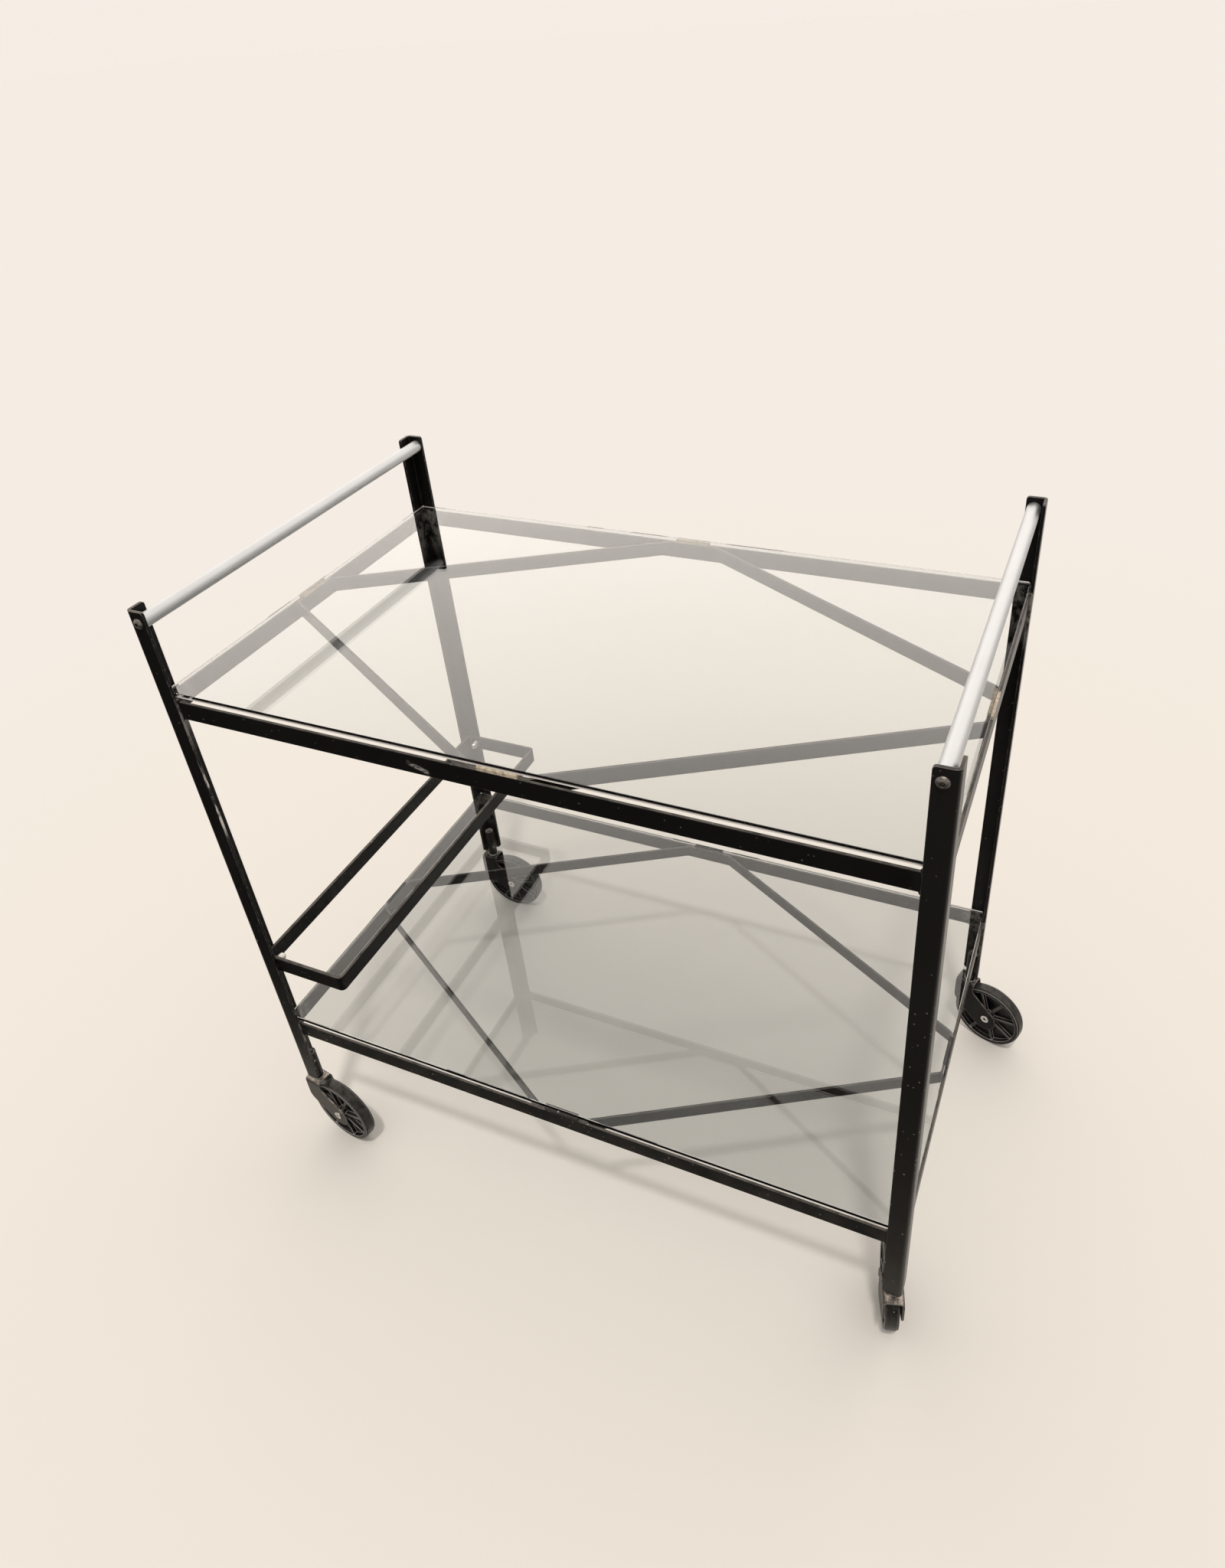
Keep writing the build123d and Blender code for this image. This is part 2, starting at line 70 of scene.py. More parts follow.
lens = bpy.data.cameras.new("photo_camera")
lens.sensor_width = SENSOR
lens.lens = FOCAL_PIXELS * SENSOR / FRAME_HEIGHT
lens.shift_x = (FRAME_WIDTH / 2 - AXIS_X) / FRAME_HEIGHT
lens.shift_y = (AXIS_Y - FRAME_HEIGHT / 2) / FRAME_HEIGHT
lens.clip_end = FAR_CLIP
camera = bpy.data.objects.new("photo_camera", lens)
turn = Matrix((RIGHT, RIGHT.cross(LOOK), -LOOK)).transposed()
camera.matrix_world = Matrix.Translation(EYE) @ turn.to_4x4()
bpy.context.scene.collection.objects.link(camera)
bpy.context.scene.camera = camera
print(f"lens {lens.lens:.2f} mm, shift {lens.shift_x:.3f}, {lens.shift_y:.3f}")

# %% [markdown]
# ## Shader maths as Python
# A finish is a small calculation: where is the dust, how worn is this edge. Drawn as nodes it
# is hard to read, so one class wraps a socket and lets Python's operators add the Math nodes.
# Every other node comes from its one method, which takes the node's settings first and then
# the values or links of its sockets.

# %% The socket class
class Wire:
    """A socket of a node tree. Arithmetic on it adds Math nodes."""

    def __init__(self, tree, socket=None):
        self.tree = tree
        self.socket = socket

    def node(self, kind, settings=None, sockets=None, output=0):
        """Add a node, set its settings, give its sockets values or links; return an output."""
        made = self.tree.nodes.new("ShaderNode" + kind)
        for name, value in (settings or {}).items():
            setattr(made, name, value)
        for name, value in (sockets or {}).items():
            if isinstance(value, Wire):
                self.tree.links.new(value.socket, made.inputs[name])
            else:
                made.inputs[name].default_value = value
        return Wire(self.tree, made.outputs[output] if len(made.outputs) else None)

    def math(self, operation, *values):
        """Add a Math node of that operation on numbers or wires."""
        return self.node("Math", {"operation": operation}, dict(enumerate(values)))

    def __add__(self, other):
        return self.math("ADD", self, other)

    def __radd__(self, other):
        return self.math("ADD", other, self)

    def __sub__(self, other):
        return self.math("SUBTRACT", self, other)

    def __rsub__(self, other):
        return self.math("SUBTRACT", other, self)

    def __mul__(self, other):
        return self.math("MULTIPLY", self, other)

    def __rmul__(self, other):
        return self.math("MULTIPLY", other, self)

    def __abs__(self):
        return self.math("ABSOLUTE", self)

# %% [markdown]
# ## Patterns
# Every finish below is made of the same few parts: soft steps, noise, specks, worn edges and
# hollows. They could be repeated in each material, but as small functions they read like words.

# %% Soft steps, blends and greys
def smooth(value, low, high):
    """0 below low, 1 above high, with a soft step between; low may be the larger one."""
    return value.node("MapRange", {"interpolation_type": "SMOOTHSTEP"},
                      {"Value": value, "From Min": low, "From Max": high})


def band(value, rise, fall):
    """1 between two soft steps, each given from where it is 0 to where it is 1."""
    return smooth(value, *rise) * smooth(value, *fall)


def blend(share, first, second):
    """The first colour where share is 0 and the second where it is 1."""
    return share.node("Mix", {"data_type": "RGBA"}, {0: share, 6: first, 7: second}, output=2)


def grey(value, warmth=0.0):
    """A grey with a little more red than blue, as an RGBA colour."""
    return (value * (1 + warmth), value, value * (1 - warmth), 1.0)


print("a warm grey:", np.round(grey(0.5, 0.08), 3).tolist())

# %% Places, noise and specks
def place(wire, stretch=(1, 1, 1)):
    """Object coordinates in metres, stretched by three factors."""
    spot = wire.node("TexCoord", output="Object")
    return wire.node("VectorMath", {"operation": "MULTIPLY"}, {0: spot, 1: stretch})


def coordinate(spot, axis):
    """One coordinate of a place: 0 runs along the cart, 1 from front to back, 2 upwards."""
    return spot.node("SeparateXYZ", None, {"Vector": spot}, output=axis)


def noise(spot, scale, detail=3.0, roughness=0.55):
    """Cloudy noise about 0.5, with scale cycles to the metre."""
    return spot.node("TexNoise", None, {
        "Vector": spot, "Scale": scale, "Detail": detail, "Roughness": roughness})


def specks(spot, cell, size, share):
    """Round specks up to that radius, one to a cell at most, in that share of the cells."""
    sockets = {"Vector": spot, "Scale": 1 / cell}
    distance = spot.node("TexVoronoi", None, sockets, output="Distance")
    cell_colour = spot.node("TexVoronoi", None, sockets, output="Color")
    lot = spot.node("SeparateColor", None, {"Color": cell_colour})
    reach = (share - lot) * (size / cell / share)
    return smooth(reach - distance, 0.0, 0.2 * size / cell)

# %% Directions, edges and hollows
UP = (0, 0, 1)
RIGHTWARD = (1, 0, 0)


def dot(first, second):
    """The dot product of two directions."""
    return first.node("VectorMath", {"operation": "DOT_PRODUCT"}, {0: first, 1: second},
                      output="Value")


def normal_of(wire):
    """The surface's own normal."""
    return wire.node("NewGeometry", output="Normal")


def facing(normal, way, low, high):
    """0 where the normal's cosine with that way is below low, 1 where it is above high."""
    return smooth(dot(normal, way), low, high)


def rounded(wire, radius):
    """The surface's normal as if its edges were rounded to that radius."""
    return wire.node("Bevel", {"samples": 6}, {"Radius": radius})


def near_edge(soft_normal):
    """1 on a sharp edge, falling to 0 about the rounding radius away from it."""
    return smooth(1 - dot(soft_normal, normal_of(soft_normal)), 0.01, 0.22)


def hollow_shade(wire, reach):
    """1 deep in a hole or inner corner of the piece, 0 on an open face; reach is its size. Finishes
    use it to paint shade into hollows.
    """
    light = wire.node("AmbientOcclusion", {"samples": 8, "only_local": True},
                      {"Distance": reach}, output="AO")
    return smooth(light, 0.7, 0.3)


def bump(height, depth, normal):
    """A normal tilted by a height map that is depth metres high."""
    return height.node("Bump", None, {"Height": height, "Distance": depth, "Normal": normal})

# %% Start and end of a finish
finishes = {}


def new_finish(slot):
    """An empty material for one of the record's slots, as a wire to build with."""
    finishes[slot] = bpy.data.materials.new(slot)
    finishes[slot].use_nodes = True
    finishes[slot].node_tree.nodes.clear()
    return Wire(finishes[slot].node_tree)


def close_finish(slot, shader):
    """Connect the shader to the material's output."""
    shader.node("OutputMaterial", None, {"Surface": shader})
    print(slot, "has", len(shader.tree.nodes), "nodes")

# %% [markdown]
# ## Wear in certain places
# The frame's paint isn't worn alike all over. Where a shelf meets a post it was burnt and
# smeared by welding. The front left post has a long scar on its edge, the top front rail a
# short scuff, and the front right post a film of dust. An image could hold such marks, but a
# few soft steps along the axes put each in its place without one.

# %% Burnt paint inside the corners
CORNER_SIDE, CORNER_DEPTH = (0.335, 0.352), (0.186, 0.204)
BURNT_FOOT, BURNT_HEAD = (-0.075, -0.02), (0.005, 0.002)
shelf_tops = [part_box(f"{shelf}_rail_front")[1].z for shelf in ("lower", "top")]


def welded_corner(wire, spot):
    """1 on faces inside the frame's four corners, just below a shelf's glass."""
    side, depth, height = (coordinate(spot, axis) for axis in range(3))
    inwards = smooth(dot(normal_of(wire), spot) * -1, 0.05, 0.15)
    corner = smooth(abs(side), *CORNER_SIDE) * smooth(abs(depth), *CORNER_DEPTH) * inwards
    lower, top = (band(height - rail, BURNT_FOOT, BURNT_HEAD) for rail in shelf_tops)
    return corner * (lower + top)


print("rails end at", np.round(shelf_tops, 3).tolist(), "m")

# %% Scar, scuff and film
SCAR_SIDE = (-0.362, -0.358), (-0.335, -0.345)
SCAR_DEPTH = (-0.205, -0.215)
SCAR_HEIGHT = (0.495, 0.52), (0.6, 0.57)
SCUFF_SLOPE, SCUFF_LEVEL, SCUFF_WIDTH = 0.344, 0.6302, (3.4 * MM, 1.4 * MM)
SCUFF_SIDE = (-0.094, -0.086), (-0.0695, -0.0735)
SCUFF_DEPTH = (-0.22, -0.223)
FILM_SIDE, FILM_DEPTH, FILM_HEIGHT = (0.345, 0.355), (-0.2, -0.22), (0.5, 0.15)


def post_scar(wire, spot, soft):
    """1 on bare steel along the free edge of the front left post's front leg."""
    side, depth, height = (coordinate(spot, axis) for axis in range(3))
    edge_face = facing(soft, RIGHTWARD, 0.5, 0.8) * smooth(depth, *SCAR_DEPTH)
    bare = smooth(noise(place(wire, (1, 1, 0.15)), 300, 4, 0.6), 0.43, 0.53)
    return edge_face * band(side, *SCAR_SIDE) * band(height, *SCAR_HEIGHT) * bare


def rail_scuff(wire, spot):
    """1 on a slanting scuff, height = level - slope x side, on the top front rail's face."""
    side, depth, height = (coordinate(spot, axis) for axis in range(3))
    line = smooth(abs(height + SCUFF_SLOPE * side - SCUFF_LEVEL), *SCUFF_WIDTH)
    scratches = smooth(noise(place(wire, (0.5, 1, 1)), 420, 4, 0.6), 0.36, 0.62)
    return line * smooth(depth, *SCUFF_DEPTH) * band(side, *SCUFF_SIDE) * scratches


def post_film(spot):
    """Dust on the front right post, thicker towards the floor."""
    side, depth, height = (coordinate(spot, axis) for axis in range(3))
    post = smooth(side, *FILM_SIDE) * smooth(depth, *FILM_DEPTH)
    return post * (0.45 + 0.55 * smooth(height, *FILM_HEIGHT))


print("the scar ends at", SCAR_HEIGHT[1][0], "m, the scuff lies at x", SCUFF_SIDE[0][0], "m")

# %% [markdown]
# ## Black paint
# The frame is mild steel under a thin coat of satin black paint. Up close it isn't one black:
# the coat has a fine orange peel, a painted highlight greys every edge and is brightest on upper
# edges, it has gone grey where an edge was rubbed, bare steel shows in a broken line along some
# edges, pale specks of dirt stick to it, and dust lies on what faces up. A Bevel node gives the
# edges a small radius and also tells where they are, so no mesh is touched.

# %% Black paint for posts, rails, braces and sockets
def black_paint(slot):
    """Satin black, with each kind of wear and a painted edge highlight laid over the last and the
    smallest marks on top.
    """
    wire = new_finish(slot)
    spot = place(wire)
    height = coordinate(spot, 2)
    soft = rounded(wire, 1.1 * MM)
    edge = near_edge(soft)
    cloud = noise(spot, 11, 4)
    rub = smooth(noise(spot, 120, 5, 0.7), 0.46, 0.62)
    # painted highlight: upper edges lightened in the colour
    upper_edge_highlight = edge * facing(soft, UP, 0.25, 0.7)
    dust = facing(normal_of(wire), UP, 0.6, 0.95) * smooth(noise(spot, 55, 5, 0.7), 0.25, 0.6)
    grime = smooth(height, 0.32, 0.08) * smooth(noise(spot, 35, 4, 0.65), 0.35, 0.7)
    smears = smooth(noise(place(wire, (1, 1, 0.55)), 95, 5, 0.7), 0.42, 0.6)
    burnt = welded_corner(wire, spot) * smears
    dirt = specks(spot, 4.5 * MM, 0.8 * MM, 0.4) * (0.25 + 0.75 * smooth(height, 0.6, 0.2))
    chips = edge * specks(spot, 7 * MM, 1.3 * MM, 0.3)
    colour = blend(cloud, grey(0.0025), grey(0.006, 0.04))
    # painted highlight: every edge a little greyer than the faces
    colour = blend(edge * 0.7, colour, grey(0.045, 0.04))
    colour = blend(edge * rub * 0.8, colour, grey(0.22, 0.05))
    colour = blend(burnt * 0.85, colour, grey(0.2, 0.06))
    colour = blend(grime * 0.55, colour, grey(0.03, 0.14))
    colour = blend(post_film(spot) * 0.7, colour, grey(0.016, 0.1))
    colour = blend(dust * 0.35, colour, grey(0.17, 0.1))
    # the painted highlight on upper edges
    colour = blend(upper_edge_highlight * 0.6, colour, grey(0.3, 0.02))
    colour = blend(dirt * 0.8, colour, grey(0.4, 0.06))
    colour = blend(chips, colour, grey(0.6, 0.06))
    colour = blend(post_scar(wire, spot, soft), colour, grey(0.5, 0.03))
    colour = blend(rail_scuff(wire, spot) * 0.8, colour, grey(0.25, 0.03))
    gloss = 0.24 + 0.14 * cloud + 0.26 * dust + 0.24 * burnt
    normal = bump(noise(spot, 700, 2), 0.04 * MM, soft)
    close_finish(slot, wire.node("BsdfPrincipled", None, {
        "Base Color": colour, "Roughness": gloss, "Normal": normal, "Specular IOR Level": 0.13}))


black_paint("black_steel")

# %% [markdown]
# ## Smoked glass
# The shelves are 5 mm float glass with a grey tint. It could be a see-through paint, but glass
# shows itself by what it mirrors: the pale light above turns the black steel under it grey, and
# its edges go dark. So it is a real dielectric, tinted on its way through. Lamps can't shine
# through such a shader, so for shadow rays it is a plain tinted film, and also for rays from
# dull surfaces, which would count the light under a shelf twice. A few specks of dust lie on it,
# and a pale matte strip on the lower half of the top shelf's cut edges is a painted highlight.

# %% Smoked glass for the shelves
GLASS_TINT = (0.67, 0.685, 0.685, 1.0)
FILM_TINT = (0.87, 0.875, 0.875, 1.0)
GLASS_INDEX = 1.5
CUT_EDGE_HIGHLIGHT_RISE = (3.2 * MM, 0.8 * MM)
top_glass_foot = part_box("top_glass")[0].z


def smoked_glass(slot):
    """A tinted dielectric, matte where dusty and where a highlight is painted on the top shelf's
    cut edges, and a plain film for some rays.
    """
    wire = new_finish(slot)
    spot = place(wire)
    normal = normal_of(wire)
    dust = specks(spot, 30 * MM, 0.5 * MM, 0.25) * facing(normal, UP, 0.5, 0.9)
    cut_edge = smooth(abs(dot(normal, UP)), 0.9, 0.8)
    # painted highlight: a pale strip on the lower part of the top shelf's cut edges
    cut_edge_highlight = cut_edge * smooth(abs(coordinate(spot, 2) - top_glass_foot), *CUT_EDGE_HIGHLIGHT_RISE)
    dust_and_highlight = 0.8 * wire.math("MAXIMUM", dust, cut_edge_highlight)
    clear = wire.node("BsdfPrincipled", None, {
        "Base Color": GLASS_TINT, "Roughness": 0.0, "IOR": GLASS_INDEX,
        "Transmission Weight": 1.0})
    pale = wire.node("BsdfPrincipled", None, {"Base Color": grey(0.7, 0.03), "Roughness": 0.9})
    glass = wire.node("MixShader", None, {0: dust_and_highlight, 1: clear, 2: pale})
    film = wire.node("BsdfTransparent", None, {"Color": FILM_TINT})
    lamp_ray = wire.node("LightPath", output="Is Shadow Ray")
    dull_ray = wire.node("LightPath", output="Is Diffuse Ray")
    plain = wire.math("MAXIMUM", lamp_ray, dull_ray)
    close_finish(slot, wire.node("MixShader", None, {0: plain, 1: glass, 2: film}))


smoked_glass("smoked_glass")

# %% [markdown]
# ## Bare aluminium
# The push bars are round aluminium bar, matte from years of hands. Drawn bar has a fine grain
# along its length, so the noise is stretched: hundreds of cycles to the metre across the bar,
# a few along it.

# %% Aluminium for the push bars
def bar_aluminium(slot):
    """Matte metal with a grain along the bar and soft smears."""
    wire = new_finish(slot)
    grain = noise(place(wire, (1, 0.012, 1)), 1400, 3, 0.6)
    smear = noise(place(wire), 22, 4)
    colour = blend(smear, grey(0.43, -0.03), grey(0.53, -0.03))
    gloss = 0.36 + 0.16 * grain + 0.1 * smear
    normal = bump(grain, 0.03 * MM, rounded(wire, 0.5 * MM))
    close_finish(slot, wire.node("BsdfPrincipled", None, {
        "Base Color": colour, "Metallic": 1.0, "Roughness": gloss, "Normal": normal}))


bar_aluminium("push_bar_aluminium")

# %% [markdown]
# ## Small steel: screws, rivets, washers and nuts
# The button heads have a dark oiled finish with a painted highlight round the rim, and the
# rivets, nuts and stems are dull zinc. One recipe serves both, with a dark and a bright end, and
# the bright end is painted along every edge as a highlight. Painted shade darkens their hex
# sockets and bores, found by how much light an inner corner loses.

# %% Screw steel and zinc
def small_steel(slot, dark, bright, gloss):
    """Metal stained between a dark and a bright tone, with a painted highlight on its edges and
    painted shade in hollows.
    """
    wire = new_finish(slot)
    soft = rounded(wire, 0.5 * MM)
    stain = noise(place(wire), 420, 4, 0.65)
    colour = blend(smooth(stain, 0.3, 0.75), dark, bright)
    # painted highlight: the bright tone along every edge
    colour = blend(near_edge(soft) * 0.8, colour, bright)
    # painted shade in hex sockets and bores
    colour = blend(hollow_shade(wire, 3 * MM) * 0.95, colour, grey(0.01))
    close_finish(slot, wire.node("BsdfPrincipled", None, {
        "Base Color": colour, "Metallic": 1.0, "Roughness": gloss + 0.2 * stain, "Normal": soft}))


small_steel("screw_steel", dark=grey(0.12, 0.08), bright=grey(0.26, 0.07), gloss=0.34)
small_steel("zinc_steel", dark=grey(0.42, 0.05), bright=grey(0.74, 0.03), gloss=0.28)

# %% [markdown]
# ## Dusty caster forks
# The forks are pressed sheet with a thin black lacquer. Floor dust has settled on the crowns,
# pale and patchy. The front cheeks are painted an olive grey, partly dust and partly painted
# light: the front forks lit, the back ones in shade. The cut edges are rubbed bright and carry
# a painted highlight. Front and back forks could have a finish each, but one lacquer that gets
# dustier and lighter towards the front of the cart keeps all four alike.

# %% Fork steel
BACK_TO_FRONT = (0.16, -0.16)


def fork_lacquer(slot):
    """Black lacquer that gets dustier and lighter, partly as painted light, from the back casters
    to the front ones.
    """
    wire = new_finish(slot)
    spot = place(wire)
    soft = rounded(wire, 0.8 * MM)
    front = smooth(coordinate(spot, 1), *BACK_TO_FRONT)
    cloud = smooth(noise(spot, 48, 5, 0.65), 0.3, 0.72)
    upward = facing(normal_of(wire), UP, 0.45, 0.95)
    patch = smooth(noise(spot, 110, 5, 0.65), 0.36, 0.7)
    clean = blend(cloud, grey(0.002, 0.04), grey(0.006, 0.08))
    dusty_and_lit = blend(cloud, grey(0.02, 0.1), grey(0.06, 0.12))
    # partly painted light: the front forks lighter as if lit, the back ones darker as if in shade
    colour = blend(front, clean, dusty_and_lit)
    colour = blend(upward * patch * (0.35 + 0.5 * front), colour, grey(0.4, 0.12))
    # rubbed edges, and a painted highlight on them
    colour = blend(near_edge(soft) * 0.7, colour, grey(0.45, 0.05))
    gloss = 0.38 + 0.2 * cloud + 0.25 * upward
    normal = bump(noise(spot, 500, 3), 0.05 * MM, soft)
    close_finish(slot, wire.node("BsdfPrincipled", None, {
        "Base Color": colour, "Roughness": gloss, "Normal": normal, "Specular IOR Level": 0.14}))


fork_lacquer("fork_steel")

# %% [markdown]
# ## Wheels, tyres and sleeves
# Wheels are moulded black plastic with a painted highlight on ribs and lips, tyres are rubber
# gone grey from the floor, and sleeves are natural nylon. All three get painted shade in their
# hollows and a painted highlight along their edges. They differ only in their colours, their
# gloss and the size of their painted highlights, painted shade and mottling, so one recipe makes
# them all.

# %% Plastic and rubber
def moulded(slot, dark, pale, edge_highlight, edge_reach, gloss, mottle, dust, shade_reach):
    """A mould's colour mottled between dark and pale, painted shade in hollows of that size, a
    painted highlight colour on its edges reaching that far, and floor dust on top."""
    wire = new_finish(slot)
    spot = place(wire)
    soft = rounded(wire, edge_reach)
    cloud = smooth(noise(spot, mottle, 5, 0.65), 0.3, 0.72)
    upward = facing(normal_of(wire), UP, -0.2, 0.9)
    colour = blend(cloud, dark, pale)
    # painted shade in hollows
    colour = blend(hollow_shade(wire, shade_reach) * 0.9, colour, grey(0.002))
    # painted highlight along edges, ribs and lips
    colour = blend(near_edge(soft) * 0.85, colour, edge_highlight)
    colour = blend(upward * cloud * dust, colour, grey(0.3, 0.1))
    colour = blend(specks(spot, 9 * MM, 0.6 * MM, 0.2) * 0.7, colour, grey(0.6, 0.05))
    normal = bump(noise(spot, 900, 2), 0.05 * MM, soft)
    close_finish(slot, wire.node("BsdfPrincipled", None, {
        "Base Color": colour, "Roughness": gloss + 0.15 * cloud, "Normal": normal,
        "Specular IOR Level": 0.2}))


moulded("wheel_plastic", dark=grey(0.002), pale=grey(0.007, 0.03), edge_highlight=grey(0.36, 0.03),
        edge_reach=1.7 * MM, gloss=0.28, mottle=60, dust=0.06, shade_reach=15 * MM)
moulded("tyre_rubber", dark=grey(0.006), pale=grey(0.016, 0.04), edge_highlight=grey(0.2, 0.04),
        edge_reach=1 * MM, gloss=0.26, mottle=160, dust=0.06, shade_reach=3 * MM)
moulded("sleeve_nylon", dark=grey(0.5, 0.08), pale=grey(0.68, 0.06), edge_highlight=grey(0.75, 0.05),
        edge_reach=0.6 * MM, gloss=0.45, mottle=250, dust=0.3, shade_reach=8 * MM)

# %% [markdown]
# ## Glass pads
# The glass lies on strips of rubber. The top shelf's strips have aged to a mottled beige, while
# the lower ones are still dark with pale crumbs on them, so one finish blends the two by height.

# %% Rubber for the glass pads
BEIGE_DARK, BEIGE_PALE = (0.17, 0.14, 0.10, 1), (0.42, 0.36, 0.28, 1)
BETWEEN_SHELVES = (0.3, 0.5)


def aged_rubber(slot):
    """Dark rubber with crumbs on the lower shelf, mottled beige on the top one."""
    wire = new_finish(slot)
    spot = place(wire)
    soft = rounded(wire, 0.8 * MM)
    cloud = smooth(noise(spot, 260, 5, 0.65), 0.3, 0.72)
    crumbs = specks(spot, 4 * MM, 1.1 * MM, 0.5)
    dark = blend(crumbs, grey(0.012, 0.1), grey(0.4, 0.05))
    beige = blend(cloud, BEIGE_DARK, BEIGE_PALE)
    colour = blend(smooth(coordinate(spot, 2), *BETWEEN_SHELVES), dark, beige)
    # painted shade in hollows
    colour = blend(hollow_shade(wire, 3 * MM) * 0.6, colour, grey(0.01))
    normal = bump(cloud, 0.1 * MM, soft)
    close_finish(slot, wire.node("BsdfPrincipled", None, {
        "Base Color": colour, "Roughness": 0.6 + 0.2 * cloud, "Normal": normal}))


aged_rubber("pad_rubber")

# %% [markdown]
# ## Finishes on the solids
# The record names a material slot for each solid, and the finishes above have the slots' names,
# so one loop puts each where it belongs.

# %% Put the finishes on the CAD nodes
for row in frame["record"]["subparts"]:
    slots = nodes[row["node"]].data.materials
    slots.clear()
    slots.append(finishes[row["material_slot"]])

# %% [markdown]
# ## Surfaces from two parameters
# Every new shape here is a grid of points worked out at once with numpy: one parameter runs
# along the rows, the other along the columns. Neighbours on the grid make the faces, and a
# grid that comes back to its start is joined there, so that no seam stays open.

# %% A mesh from grids of points
MERGE = 1e-7


def grid_faces(rows, columns):
    """Corner numbers of the quads of a rows x columns grid whose last column joins the first."""
    i, j = np.meshgrid(np.arange(rows - 1), np.arange(columns), indexing="ij")
    here, beside = i * columns + j, i * columns + (j + 1) % columns
    quads = np.stack([here, beside, beside + columns, here + columns], -1)
    return quads.reshape(-1, 4)


def grid_object(name, grids):
    """A smooth object at the origin from an array of grids, of shape (count, rows, columns, 3).
    Points that lie together, as in the first and last row of a bead, become one pole."""
    count, rows, columns = grids.shape[:3]
    first_points = np.arange(count) * rows * columns
    faces = (grid_faces(rows, columns)[None] + first_points[:, None, None]).reshape(-1, 4)
    mesh = bpy.data.meshes.new(name)
    mesh.vertices.add(grids.size // 3)
    mesh.vertices.foreach_set("co", grids.astype(np.float32).ravel())
    mesh.loops.add(faces.size)
    mesh.loops.foreach_set("vertex_index", faces.astype(np.int32).ravel())
    mesh.polygons.add(len(faces))
    mesh.polygons.foreach_set("loop_start", np.arange(0, faces.size, 4, dtype=np.int32))
    mesh.polygons.foreach_set("use_smooth", np.ones(len(faces), bool))
    mesh.update(calc_edges=True)
    shell = bmesh.new()
    shell.from_mesh(mesh)
    bmesh.ops.remove_doubles(shell, verts=shell.verts, dist=MERGE)
    shell.to_mesh(mesh)
    shell.free()
    mesh.validate()
    made = bpy.data.objects.new(name, mesh)
    bpy.context.scene.collection.objects.link(made)
    return made

# %% [markdown]
# ## Weld beads
# Rails, posts, braces and caster sockets are welded, and the beads show in the corners under
# the glass and beside the sockets. A bead is a caterpillar: a tube along a short line whose
# radius ripples where each drop froze onto the last, and falls to nothing at both ends. All
# beads of a kind come from one array of lines, each with a start and an end.

# %% Rippled beads along straight lines
RIPPLES, BEAD_ROWS, BEAD_COLUMNS = 7, 43, 10
VALLEY, CREST = 0.86, 0.22
SLANT = (0.577, 0.577, 0.578)


def beads(name, lines, radius):
    """Tubes about straight lines: radius x taper(t) x ripple(t), with taper = (1 - (2t - 1)^6)^0.5
    and ripple a rounded sawtooth of RIPPLES teeth. No bead runs along SLANT, so it gives spokes."""
    starts, ends = np.array(lines).swapaxes(0, 1)
    t = np.linspace(0, 1, BEAD_ROWS)
    angle = np.linspace(0, 2 * np.pi, BEAD_COLUMNS, endpoint=False)[None, :, None]
    taper = np.sqrt(np.clip(1 - (2 * t - 1) ** 6, 0, 1))
    ripple = VALLEY + CREST * np.sqrt(1 - ((t * RIPPLES) % 1) ** 2)
    girth = (radius * taper * ripple)[None, :, None, None]
    along = ends - starts
    way = along / np.linalg.norm(along, axis=1, keepdims=True)
    first = np.cross(way, SLANT)
    first /= np.linalg.norm(first, axis=1, keepdims=True)
    second = np.cross(way, first)
    spokes = np.cos(angle) * first[:, None] + np.sin(angle) * second[:, None]
    middles = starts[:, None, None] + t[None, :, None, None] * along[:, None, None]
    made = grid_object(name, middles + girth * spokes[:, None])
    made.data.materials.append(finishes["black_steel"])
    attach(made, "frame")
    print(name, "has", len(lines), "beads")

# %% Beads where the shelves meet the posts
CORNERS = [(-1, -1), (1, -1), (-1, 1), (1, 1)]
OVERLAP = 17 * MM
CORNER_BEAD = 2.2 * MM
SEAM_IN, FACE_IN, END_IN = 0.8 * MM, 1 * MM, 1 * MM
BELOW_RAIL, ABOVE_RAIL = 0.6 * MM, 0.7 * MM
front_low, front_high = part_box("top_rail_front")
right_low, right_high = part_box("top_rail_right")
leg_x, leg_y = front_high.x, right_high.y
seam_x, seam_y = right_low.x - SEAM_IN, -front_high.y - SEAM_IN
face_x, face_y = right_high.x - FACE_IN, -front_low.y - FACE_IN
for shelf in ("top", "lower"):
    bottom, top = (corner.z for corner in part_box(f"{shelf}_rail_front"))
    lines = []
    for sx, sy in CORNERS:
        seam = sx * seam_x, sy * seam_y
        lines.append([(*seam, bottom + END_IN), (*seam, top - END_IN)])
        for z in (bottom - BELOW_RAIL, top + ABOVE_RAIL):
            lines.append([(sx * (leg_x - OVERLAP), sy * face_y, z), (sx * leg_x, sy * face_y, z)])
            lines.append([(sx * face_x, sy * (leg_y - OVERLAP), z), (sx * face_x, sy * leg_y, z)])
    beads(f"{shelf}_corner_welds", lines, CORNER_BEAD)

# %% Beads under the braces
TACK = 15 * MM
TACK_BEAD = 1.7 * MM
TIP_IN, BELOW_BRACE = 0.8 * MM, 0.4 * MM
for shelf in ("top", "lower"):
    low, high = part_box(f"{shelf}_brace")
    tip_x, tip_y, z = high.x - TIP_IN, high.y - TIP_IN, low.z - BELOW_BRACE
    lines = []
    for side in (-1, 1):
        lines.append([(-TACK, side * tip_y, z), (TACK, side * tip_y, z)])
        lines.append([(side * tip_x, -TACK, z), (side * tip_x, TACK, z)])
    beads(f"{shelf}_brace_tacks", lines, TACK_BEAD)

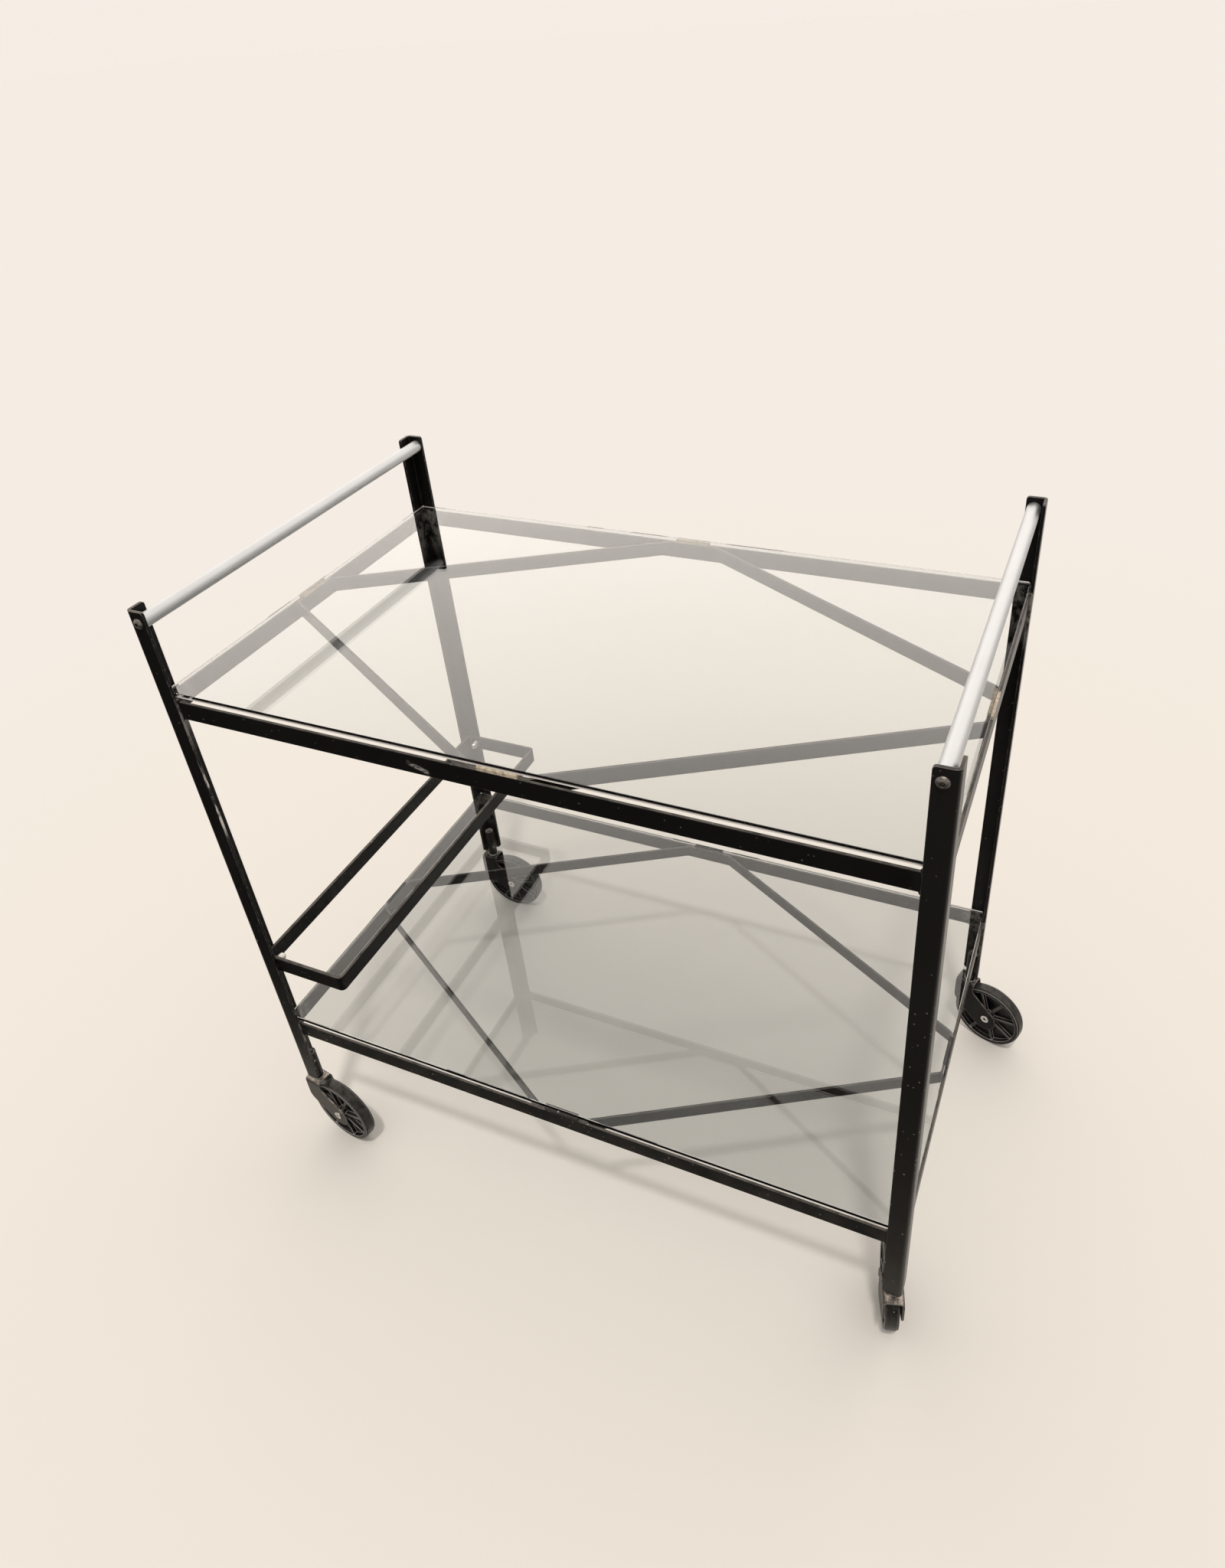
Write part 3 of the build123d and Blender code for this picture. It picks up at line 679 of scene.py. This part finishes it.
# %% Beads beside the caster sockets
GROOVE, WALL_IN = 4.2 * MM, 1.1 * MM
SOCKET_BEAD = 1.6 * MM
FOOT_IN, HEAD_IN = 6 * MM, 4 * MM
lines = []
for corner in ("front_left", "front_right", "back_left", "back_right"):
    low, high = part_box(f"caster_socket_{corner}")
    middle = (low + high) / 2
    sx, sy = np.sign(middle.x), np.sign(middle.y)
    wall_x = (high.x if sx > 0 else low.x) - sx * WALL_IN
    wall_y = (high.y if sy > 0 else low.y) - sy * WALL_IN
    foot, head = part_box(f"post_{corner}")[0].z + FOOT_IN, high.z - HEAD_IN
    for x, y in ((middle.x - sx * GROOVE, wall_y), (wall_x, middle.y - sy * GROOVE)):
        lines.append([(x, y, foot), (x, y, head)])
beads("socket_welds", lines, SOCKET_BEAD)

# %% [markdown]
# ## A pale floor
# The cart stands on a plain pale floor that has no end in sight: it runs on until it meets the
# sky, which has the same tone there, so that no view shows a horizon. A curved backdrop would
# do as well, but its bend catches less light than the floor and shows as a grey band. Near the
# cart the floor is a little warmer. It isn't part of the object.

# %% A flat sheet and the floor
FLOOR_REACH = 30.0
NEAR_TONE, FAR_TONE = (0.474, 0.466, 0.445, 1), (0.4755, 0.4755, 0.4755, 1)
NEAR_REACH = (0.6, 2.4)


def stage_sheet(name, low, high, z):
    """A level rectangle between two corners, linked into the scene."""
    (left, front), (right, back) = low, high
    points = [(left, front, z), (right, front, z), (right, back, z), (left, back, z)]
    sheet = bpy.data.meshes.new(name)
    sheet.from_pydata(points, [], [(0, 1, 2, 3)])
    made = bpy.data.objects.new(name, sheet)
    bpy.context.scene.collection.objects.link(made)
    return made


floor = stage_sheet("floor", (-FLOOR_REACH, -FLOOR_REACH), (FLOOR_REACH, FLOOR_REACH), 0.0)
wire = new_finish("floor")
away = wire.node("VectorMath", {"operation": "LENGTH"}, {0: place(wire)}, output="Value")
tone = blend(smooth(away, *NEAR_REACH), NEAR_TONE, FAR_TONE)
close_finish("floor", wire.node("BsdfPrincipled", None, {
    "Base Color": tone, "Roughness": 0.8, "Specular IOR Level": 0.0}))
floor.data.materials.append(finishes["floor"])
print("floor is", max(floor.dimensions), "m across")

# %% [markdown]
# ## A dark card
# Satin black is only as black as what it mirrors. The faces at the front mirror the floor in
# front of the cart, so a dark card lies there, as it would in a studio. Only mirrored rays see
# it: the floor itself stays plain and pale in every view.

# %% The card in front of the cart
CARD_LOW, CARD_HIGH, CARD_RISE = (-3.0, -3.4), (3.0, -0.30), 1 * MM
card = stage_sheet("dark_card", CARD_LOW, CARD_HIGH, CARD_RISE)
card.visible_camera = card.visible_diffuse = False
card.visible_transmission = card.visible_shadow = False
wire = new_finish("dark_card")
close_finish("dark_card", wire.node("BsdfDiffuse", None, {"Color": grey(0.02)}))
card.data.materials.append(finishes["dark_card"])
print("dark card is", np.round(card.dimensions[:2], 2).tolist(), "m")

# %% [markdown]
# ## Soft studio light
# The light is high key: pale and warm all round, brighter behind the cart than in front of it.
# A world made of a few tones lights the cart and gives the glass something pale to mirror. The
# front rail's soft shadow falls three fingers behind it, so one light stands high up, a little
# in front of the cart. A nearby lamp would do, but a sun, being far away, lights the whole floor
# alike, and its width softens the shadows. The world itself stays out of the picture: the camera
# sees one pale tone in every direction.

# %% A world of four tones
WARM = 0.08
HORIZON, OVERHEAD = grey(0.85, WARM), grey(1.4, WARM)
FRONT_TONE, BACK_TONE = grey(0.4, WARM), grey(2.4, WARM)
BEHIND, FRONT_TO_BACK = (-0.37, 0.93, 0), (-0.2, 0.75)
HORIZON_TO_SKY, SKY_TO_OVERHEAD = (0.02, 0.3), (0.54, 0.72)
world = bpy.data.worlds.new("studio")
bpy.context.scene.world = world
world.use_nodes = True
world.node_tree.nodes.clear()
sky = Wire(world.node_tree)
way = sky.node("TexCoord", output="Generated")
rise = dot(way, UP)
air = blend(facing(way, BEHIND, *FRONT_TO_BACK), FRONT_TONE, BACK_TONE)
air = blend(smooth(rise, *HORIZON_TO_SKY), HORIZON, air)
air = blend(smooth(rise, *SKY_TO_OVERHEAD), air, OVERHEAD)
air = blend(sky.node("LightPath", output="Is Camera Ray"), air, HORIZON)
light = sky.node("Background", None, {"Color": air, "Strength": 1.0})
sky.node("OutputWorld", None, {"Surface": light})
print("the world has", len(world.node_tree.nodes), "nodes")

# %% A wide lamp far away
LAMP_STRENGTH, LAMP_DEGREES = 1.6, 4
LAMP_WAY = Vector((0.15, -0.36, 1.0))
lamp_light = bpy.data.lights.new("lamp", "SUN")
lamp_light.energy = LAMP_STRENGTH
lamp_light.angle = np.radians(LAMP_DEGREES)
lamp_light.color = grey(1.0, WARM)[:3]
lamp = bpy.data.objects.new("lamp", lamp_light)
lamp.rotation_euler = LAMP_WAY.to_track_quat("Z", "Y").to_euler()
bpy.context.scene.collection.objects.link(lamp)
bpy.context.scene.view_settings.view_transform = "Standard"
print(lamp.name, "is", LAMP_DEGREES, "degrees wide")
